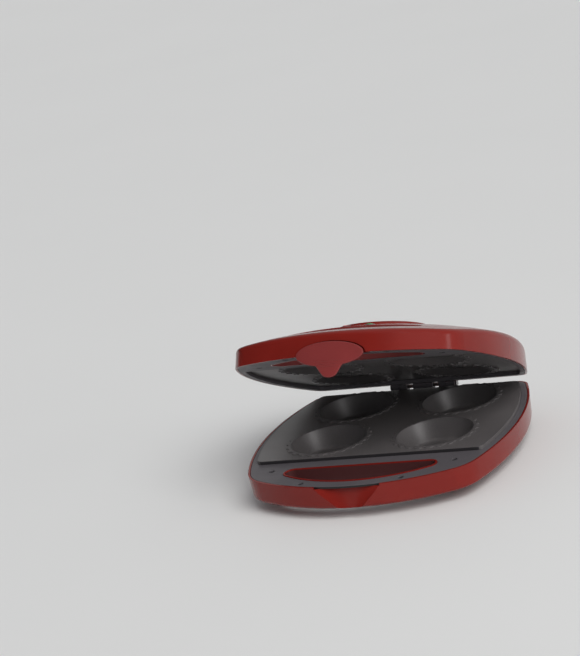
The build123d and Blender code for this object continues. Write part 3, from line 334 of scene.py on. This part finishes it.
def paint_skirt_shade(mat):
    """Painted shade: a near black colour painted on the front edge of the lower plate, under its top face.
    """
    tree = mat.node_tree
    x, y, z = placed(tree, find(mat, "TEX_COORD"), BASE)
    under_top = below(tree, z, PLATE_SKIRT_Z, edge=0.0004)
    skirt = compute(tree, "MULTIPLY", under_top, below(tree, y, PLATE_SKIRT_Y))
    change(mat, "Base Color", skirt, SKIRT_SHADE_BLACK)


plastic("shell_red", RED, rough=0.20, spread=0.04, grain=420, relief=0.035, coat=0.05, shine=0.26)
plastic("latch_red", LATCH_RED, rough=0.42, spread=0.05, grain=700, relief=0.12, shine=0.4)
plastic("trim_black", TRIM_BLACK, rough=0.46, spread=0.06, grain=900, relief=0.22)
coating("plate_coating")
rubber("rubber_black")
metal("shield_aluminium", (0.74, 0.75, 0.76), rough=0.3, streak=(1, 25, 1))
metal("element_steel", (0.30, 0.27, 0.25), rough=0.45, streak=(1, 1, 1), tint=(0.16, 0.12, 0.10))
metal("plain_steel", (0.30, 0.29, 0.29), rough=0.38, streak=(8, 8, 1))
metal("dark_steel", (0.10, 0.10, 0.105), rough=0.38, streak=(6, 6, 1))
plastic("terminal_white", PORCELAIN, rough=0.3, spread=0.05, grain=300, relief=0.05, coat=0.4, mottle=0.04)
plastic("wire_sleeve", (0.62, 0.61, 0.57), rough=0.55, spread=0.05, grain=1500, relief=0.3, mottle=0.1)
plastic("medallion_cream", CREAM, rough=0.16, spread=0.03, grain=260, relief=0.05, coat=0.7, mottle=0.16)
lens("lens_red", (0.62, 0.03, 0.02), deep=(0.28, 0.01, 0.01))
lens("lens_green", (0.05, 0.42, 0.10), deep=(0.02, 0.18, 0.05))
plastic("board_green", BOARD_GREEN, rough=0.4, spread=0.05, grain=500, relief=0.1, coat=0.2, mottle=0.2)

# Painted shade on the slot walls, the deck's lip and the lower plate's front edge
paint_slot_shade(mats["shell_red"])
paint_lip_shade(mats["trim_black"])
paint_skirt_shade(mats["plate_coating"])

for part in frame["record"]["subparts"]:
    node = nodes[part["node"]]
    node.data.materials.clear()
    node.data.materials.append(mats[part["material_slot"]])


# Pieces built in mesh code, each in coordinates of the closed half that carries it
def add_object(name, data):
    item = bpy.data.objects.new(name, data)
    scene.collection.objects.link(item)
    return item


def build(name, bm, matrix, body, mat, sharp=35):
    """Finished piece on its body, smooth but for the edges over an angle in degrees."""
    bmesh.ops.transform(bm, matrix=matrix, verts=bm.verts)
    bmesh.ops.recalc_face_normals(bm, faces=bm.faces)
    mesh = bpy.data.meshes.new(name)
    bm.to_mesh(mesh)
    bm.free()
    for face in mesh.polygons:
        face.use_smooth = True
    mesh.set_sharp_from_angle(angle=math.radians(sharp))
    mesh.materials.append(mats[mat])
    piece = add_object(name, mesh)
    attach(piece, body)
    return piece


def ring(bm, radius, z, count, middle):
    """Level circle of vertices."""
    angles = [2 * math.pi * i / count for i in range(count)]
    places = [(middle[0] + radius * math.cos(a), middle[1] + radius * math.sin(a), z) for a in angles]
    return [bm.verts.new(place) for place in places]


def skin(bm, low, high):
    """Faces between two closed loops of as many vertices."""
    count = len(low)
    for i in range(count):
        j = (i + 1) % count
        bm.faces.new((low[i], low[j], high[j], high[i]))


def turned(bm, profile, count, middle=(0, 0)):
    """Surface turned about an upright axis from (radius, height) points."""
    rings = [ring(bm, radius, z, count, middle) for radius, z in profile]
    for low, high in zip(rings, rings[1:]):
        skin(bm, low, high)
    return rings


def cap(bm, outer, inner=None):
    """Flat faces that fill a loop, but for an inner loop where one is given."""
    edges = []
    for loop in (outer, inner or []):
        for i, vert in enumerate(loop):
            other = loop[(i + 1) % len(loop)]
            edges.append(bm.edges.get((vert, other)) or bm.edges.new((vert, other)))
    bmesh.ops.triangle_fill(bm, edges=edges, use_beauty=True)


def mirrored(spots):
    return [(side * x, y) for x, y in spots for side in (-1, 1)]


# Screws: the head's profile in shares of its radius and height, and the cross in shares of its reach
SCREW_RADIUS = 0.0034
SCREW_HEIGHT = 0.0024
SCREW_SIDES = 40
SCREW_PROFILE = [(1, 0), (1, 0.6), (0.97, 0.8), (0.88, 0.95), (0.76, 1)]
CROSS_REACH = 0.56 * SCREW_RADIUS
CROSS_FOOT_REACH = 0.72 * CROSS_REACH
CROSS_FOOT_Z = 0.45 * SCREW_HEIGHT
CROSS_ARM = [(1, -0.24), (1, 0.24), (0.24, 0.24)]
QUARTERS = [(1, 0), (0, 1), (-1, 0), (0, -1)]
CROSS = [(c * x - s * y, s * x + c * y) for c, s in QUARTERS for x, y in CROSS_ARM]
FIRST_TURN = 0.5
NEXT_TURN = 1.3


def screw_heads(name, spots, seat, matrix, body, mat, node, way=-1):
    """Rounded heads with a cross recess, standing up from a seat (1) or hanging below it (-1)."""
    bm = bmesh.new()
    for index, (x, y) in enumerate(spots):
        head = bmesh.new()
        profile = [(SCREW_RADIUS * radius, SCREW_HEIGHT * z) for radius, z in SCREW_PROFILE]
        rims = turned(head, profile, SCREW_SIDES)
        cap(head, rims[0])
        top = [head.verts.new((CROSS_REACH * u, CROSS_REACH * v, SCREW_HEIGHT)) for u, v in CROSS]
        foot = [head.verts.new((CROSS_FOOT_REACH * u, CROSS_FOOT_REACH * v, CROSS_FOOT_Z)) for u, v in CROSS]
        skin(head, top, foot)
        head.faces.new(foot)
        cap(head, rims[-1], top)
        turn = Matrix.Rotation(FIRST_TURN + NEXT_TURN * index, 4, "Z")
        place = Matrix.Translation((x, y, seat)) @ Matrix.Diagonal((1, 1, way, 1)) @ turn
        bmesh.ops.transform(head, matrix=place, verts=head.verts)
        bmesh.ops.recalc_face_normals(head, faces=head.faces)
        mesh = bpy.data.meshes.new("head")
        head.to_mesh(mesh)
        head.free()
        bm.from_mesh(mesh)
        bpy.data.meshes.remove(mesh)
    piece = build(name, bm, matrix, body, mat, sharp=30)
    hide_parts(node)


DECK_SPOTS = mirrored([(0.71 * HALF_WIDTH, -0.69 * FRONT), (0.385 * HALF_WIDTH, -0.918 * FRONT)])
DECK_SEAT = 0.0362
LID_DECK_SEAT = 0.0450
COVER_SPOTS = [(x, y) for x in (-0.104, 0.104) for y in (-0.092, 0.088)]
COVER_SEAT = 0.0067
screw_heads("deck_screw_heads", DECK_SPOTS, DECK_SEAT, BASE, "base", "dark_steel", "deck_screws", way=1)
screw_heads("lid_screw_heads", DECK_SPOTS, LID_DECK_SEAT, LID, "lid", "dark_steel", "lid_deck_screws")
screw_heads("cover_screw_heads", COVER_SPOTS, COVER_SEAT, BASE, "base", "plain_steel", "cover_screws")


# Bezels of the signal lenses: radius and height over the crown
BEZEL_PROFILE = [
    (0.00435, -0.0004),
    (0.00435, 0.0004),
    (0.0046, 0.0008),
    (0.0051, 0.0009),
    (0.0056, 0.0007),
    (0.0058, 0.0002),
    (0.0059, -0.0004),
]
BEZEL_SIDES = 48
LENS_X = 0.014
LENS_Y = -0.098


def lens_bezel(name, x, y):
    """Thin ring round a signal lens, lying on the crown."""
    rise = math.sqrt(CROWN_RADIUS**2 - x**2 - (y - MEDALLION_Y) ** 2)
    out = Vector((x, y - MEDALLION_Y, rise)).normalized()
    place = CROWN_CENTRE + CROWN_RADIUS * out
    bm = bmesh.new()
    turned(bm, BEZEL_PROFILE, BEZEL_SIDES)
    matrix = LID @ Matrix.Translation(place) @ out.to_track_quat("Z", "Y").to_matrix().to_4x4()
    build(name, bm, matrix, "lid", "trim_black")


lens_bezel("power_bezel", -LENS_X, LENS_Y)
lens_bezel("ready_bezel", LENS_X, LENS_Y)


# Grip ridges of the latch: their section (outwards, up), then for each its drop under the latch's middle and
# its half width
LATCH_Z = 0.042
LATCH_FACE = FRONT_BOW + 0.007
RIDGE_SECTION = [(-0.0002, -0.0007), (0.0002, -0.0005), (0.0004, 0), (0.0002, 0.0005), (-0.0002, 0.0007)]
RIDGE_STEPS = 28
RIDGES = [(0.0080, 0.0165), (0.0108, 0.0150), (0.0136, 0.0130)]


def latch_ridges():
    """Three fine ridges across the latch, over the root of its tongue, low at their ends."""
    bm = bmesh.new()
    for drop, half in RIDGES:
        loops = []
        for i in range(RIDGE_STEPS + 1):
            share = 2 * i / RIDGE_STEPS - 1
            angle = share * half / LATCH_FACE
            rise = math.sqrt(max(0.02, 1 - share**4))
            loop = []
            for out, up in RIDGE_SECTION:
                radius = LATCH_FACE + out * rise
                x = radius * math.sin(angle)
                y = FRONT_BOW_Y - radius * math.cos(angle)
                loop.append(bm.verts.new((x, y, LATCH_Z - drop + up * rise)))
            loops.append(loop)
        for low, high in zip(loops, loops[1:]):
            skin(bm, low, high)
        bm.faces.new(loops[0])
        bm.faces.new(loops[-1])
    build("latch_ridges", bm, LID, "latch", "latch_red", sharp=60)


latch_ridges()


# Medallion: a plain rosette on a dark red ground, with a ring of beads
MEDALLION = LID @ Matrix.Translation((0, MEDALLION_Y, 0))
GROUND_Z = MEDALLION_Z + 0.0012
GROUND_SIDES = 96
GROUND_PROFILE = [
    (0.0478, MEDALLION_Z),
    (0.0478, MEDALLION_Z + 0.0008),
    (0.0474, MEDALLION_Z + 0.0011),
    (0.0355, GROUND_Z),
    (0.0347, MEDALLION_Z + 0.0015),
    (0.0338, MEDALLION_Z + 0.0015),
    (0.0330, GROUND_Z),
    (0.0005, MEDALLION_Z + 0.0014),
]
PETALS = 12
PETAL_ROWS = 18
PETAL_COLUMNS = 8
BOSS_RADIUS = 0.0065
BOSS_HEIGHT = 0.0014
BOSS_SIDES = 40
BEADS = 44
BEAD_CIRCLE = 0.0415
BEAD_Z = MEDALLION_Z + 0.0010
BEAD_RADIUS = 0.0019
BEAD_HEIGHT = 0.0013
BEAD_SIDES = 16


def medallion_ground():
    bm = bmesh.new()
    rings = turned(bm, GROUND_PROFILE, GROUND_SIDES)
    cap(bm, rings[0])
    cap(bm, rings[-1])
    piece = build("medallion_ground", bm, MEDALLION, "lid", "shell_red")
    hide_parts("medallion")


def petal(bm, angle, start, end, half, height):
    """One domed leaf with a creased middle, lying on the ground and pointing outwards."""
    grid = []
    for i in range(PETAL_ROWS + 1):
        u = i / PETAL_ROWS
        width = half * math.sin(math.pi * u**0.8) ** 0.75 if 0 < i < PETAL_ROWS else 0.00002
        row = []
        for j in range(PETAL_COLUMNS + 1):
            v = 2 * j / PETAL_COLUMNS - 1
            lift = height * (1 - v * v) ** 0.7 * math.sin(math.pi * min(max(u, 0.02), 0.98)) ** 0.4
            crease = 0.25 * height * math.exp(-((v / 0.14) ** 2)) * math.sin(math.pi * u)
            reach = start + (end - start) * u
            x = reach * math.cos(angle) - width * v * math.sin(angle)
            y = reach * math.sin(angle) + width * v * math.cos(angle)
            row.append(bm.verts.new((x, y, GROUND_Z + lift - crease)))
        grid.append(row)
    for low, high in zip(grid, grid[1:]):
        for j in range(PETAL_COLUMNS):
            bm.faces.new((low[j], low[j + 1], high[j + 1], high[j]))


def dome(radius, z, height, steps):
    """Profile of a dome from its foot up, short of its top."""
    angles = [math.pi / 2 * k / steps for k in range(steps)]
    return [(radius * math.cos(a), z + height * math.sin(a)) for a in angles]


def rosette():
    """Twelve large petals with twelve small ones between them, round a boss."""
    bm = bmesh.new()
    for i in range(PETALS):
        petal(bm, 2 * math.pi / PETALS * i, start=0.007, end=0.0315, half=0.0042, height=0.0012)
    for i in range(PETALS):
        petal(bm, 2 * math.pi / PETALS * (i + 0.5), start=0.013, end=0.0285, half=0.0028, height=0.0009)
    rings = turned(bm, dome(BOSS_RADIUS, GROUND_Z, BOSS_HEIGHT, steps=8), BOSS_SIDES)
    cap(bm, rings[-1])
    build("medallion_rosette", bm, MEDALLION, "lid", "medallion_cream", sharp=60)


def beads():
    bm = bmesh.new()
    profile = dome(BEAD_RADIUS, BEAD_Z, BEAD_HEIGHT, steps=5) + [(0.0001, BEAD_Z + BEAD_HEIGHT)]
    for i in range(BEADS):
        angle = 2 * math.pi * i / BEADS
        place = (BEAD_CIRCLE * math.cos(angle), BEAD_CIRCLE * math.sin(angle))
        rings = turned(bm, profile, BEAD_SIDES, place)
        bm.faces.new(rings[-1])
    build("medallion_beads", bm, MEDALLION, "lid", "medallion_cream", sharp=60)


medallion_ground()
rosette()
beads()


# Floor, light and camera
FLOOR_HALF = 60
FLOOR_TONE = (0.78, 0.78, 0.765)
PALE_SIDE = Vector((0.75, 0.55, 0.35)).normalized()
KEY_DIRECTION = Vector((-0.55, 0.50, -0.75))
SIDE_PLACE = Vector((1.95, -0.75, 0.62))
SIDE_TARGET = Vector((0.1, -0.1, 0.15))
CAMERA_LENS = 143.8
CAMERA_PLACE = (1.0179, -2.6304, 1.0204)
CAMERA_RIGHT = Vector((0.9243, 0.3255, -0.1994)).normalized()
CAMERA_FORWARD = Vector((-0.3724, 0.8836, -0.2839)).normalized()


def make_floor():
    """Wide pale floor with a faint mottle."""
    tree, bsdf, coords = material("floor_pale")
    patches = noise(tree, coords, scale=3, detail=2)
    vary(tree, bsdf, "Base Color", patches, (0.3, scale_by(FLOOR_TONE, 0.99)), (0.7, FLOOR_TONE))
    put(bsdf, {"Roughness": 0.7})
    mesh = bpy.data.meshes.new("floor")
    corners = [(-1, -1), (1, -1), (1, 1), (-1, 1)]
    mesh.from_pydata([(FLOOR_HALF * x, FLOOR_HALF * y, 0) for x, y in corners], [], [(0, 1, 2, 3)])
    mesh.materials.append(mats["floor_pale"])
    add_object("floor", mesh)


def background(tree, colour, strength=1.0):
    node = tree.nodes.new("ShaderNodeBackground")
    feed(tree, node.inputs["Color"], colour)
    put(node, {"Strength": strength})
    return node.outputs["Background"]


def chosen(tree, factor, first, second):
    """The first shader at 0 and the second at 1."""
    node = tree.nodes.new("ShaderNodeMixShader")
    for socket, value in zip(node.inputs, (factor, first, second)):
        tree.links.new(value, socket)
    return node.outputs["Shader"]


def make_world():
    """Soft surroundings, brighter behind and on the right in reflections, with a plain pale backdrop."""
    world = bpy.data.worlds.new("studio")
    world.use_nodes = True
    tree = world.node_tree
    tree.nodes.clear()
    coords = tree.nodes.new("ShaderNodeTexCoord")
    side = tree.nodes.new("ShaderNodeVectorMath")
    side.operation = "DOT_PRODUCT"
    side.inputs[1].default_value = PALE_SIDE
    tree.links.new(coords.outputs["Generated"], side.inputs[0])
    tone = fade(tree, side.outputs["Value"], full=0.9, none=-0.6)
    tones = ramp(tree, tone, (0, grey(0.02)), (0.35, grey(0.05)), (0.62, grey(0.50)), (1, grey(0.58)))
    soft = background(tree, (0.95, 0.96, 1.0, 1), 0.36)
    shown = background(tree, (0.60, 0.61, 0.59, 1))
    reflected = background(tree, tones)
    rays = tree.nodes.new("ShaderNodeLightPath")
    seen = compute(tree, "MAXIMUM", rays.outputs["Is Camera Ray"], rays.outputs["Is Transmission Ray"])
    unseen = chosen(tree, rays.outputs["Is Glossy Ray"], soft, reflected)
    out = tree.nodes.new("ShaderNodeOutputWorld")
    tree.links.new(chosen(tree, seen, unseen, shown), out.inputs["Surface"])
    scene.world = world


def facing(direction):
    """Rotation of a lamp that shines in a direction."""
    return direction.to_track_quat("-Z", "Y").to_euler()


def make_key():
    """Broad sun from the right, left out of reflections."""
    light = bpy.data.lights.new("key", "SUN")
    light.energy = 2.1
    light.angle = math.radians(40)
    lamp = add_object("key", light)
    lamp.rotation_euler = facing(KEY_DIRECTION)
    lamp.visible_glossy = False


def make_side():
    """Small soft lamp on the right, for the highlights on the walls."""
    light = bpy.data.lights.new("side", "AREA")
    light.shape = "RECTANGLE"
    light.size = 0.9
    light.size_y = 0.8
    light.energy = 2.4
    light.spread = math.radians(100)
    lamp = add_object("side", light)
    lamp.location = SIDE_PLACE
    lamp.rotation_euler = facing(SIDE_TARGET - SIDE_PLACE)


def make_camera():
    """Camera at the photograph's viewing angle."""
    data = bpy.data.cameras.new("camera")
    data.sensor_fit = "VERTICAL"
    data.sensor_height = 36
    data.lens = CAMERA_LENS
    camera = add_object("camera", data)
    up = CAMERA_RIGHT.cross(CAMERA_FORWARD)
    turn = Matrix((CAMERA_RIGHT, up, -CAMERA_FORWARD)).transposed().to_4x4()
    camera.matrix_world = Matrix.Translation(CAMERA_PLACE) @ turn
    scene.camera = camera


make_floor()
make_world()
make_key()
make_side()
make_camera()

scene.view_settings.view_transform = "Standard"
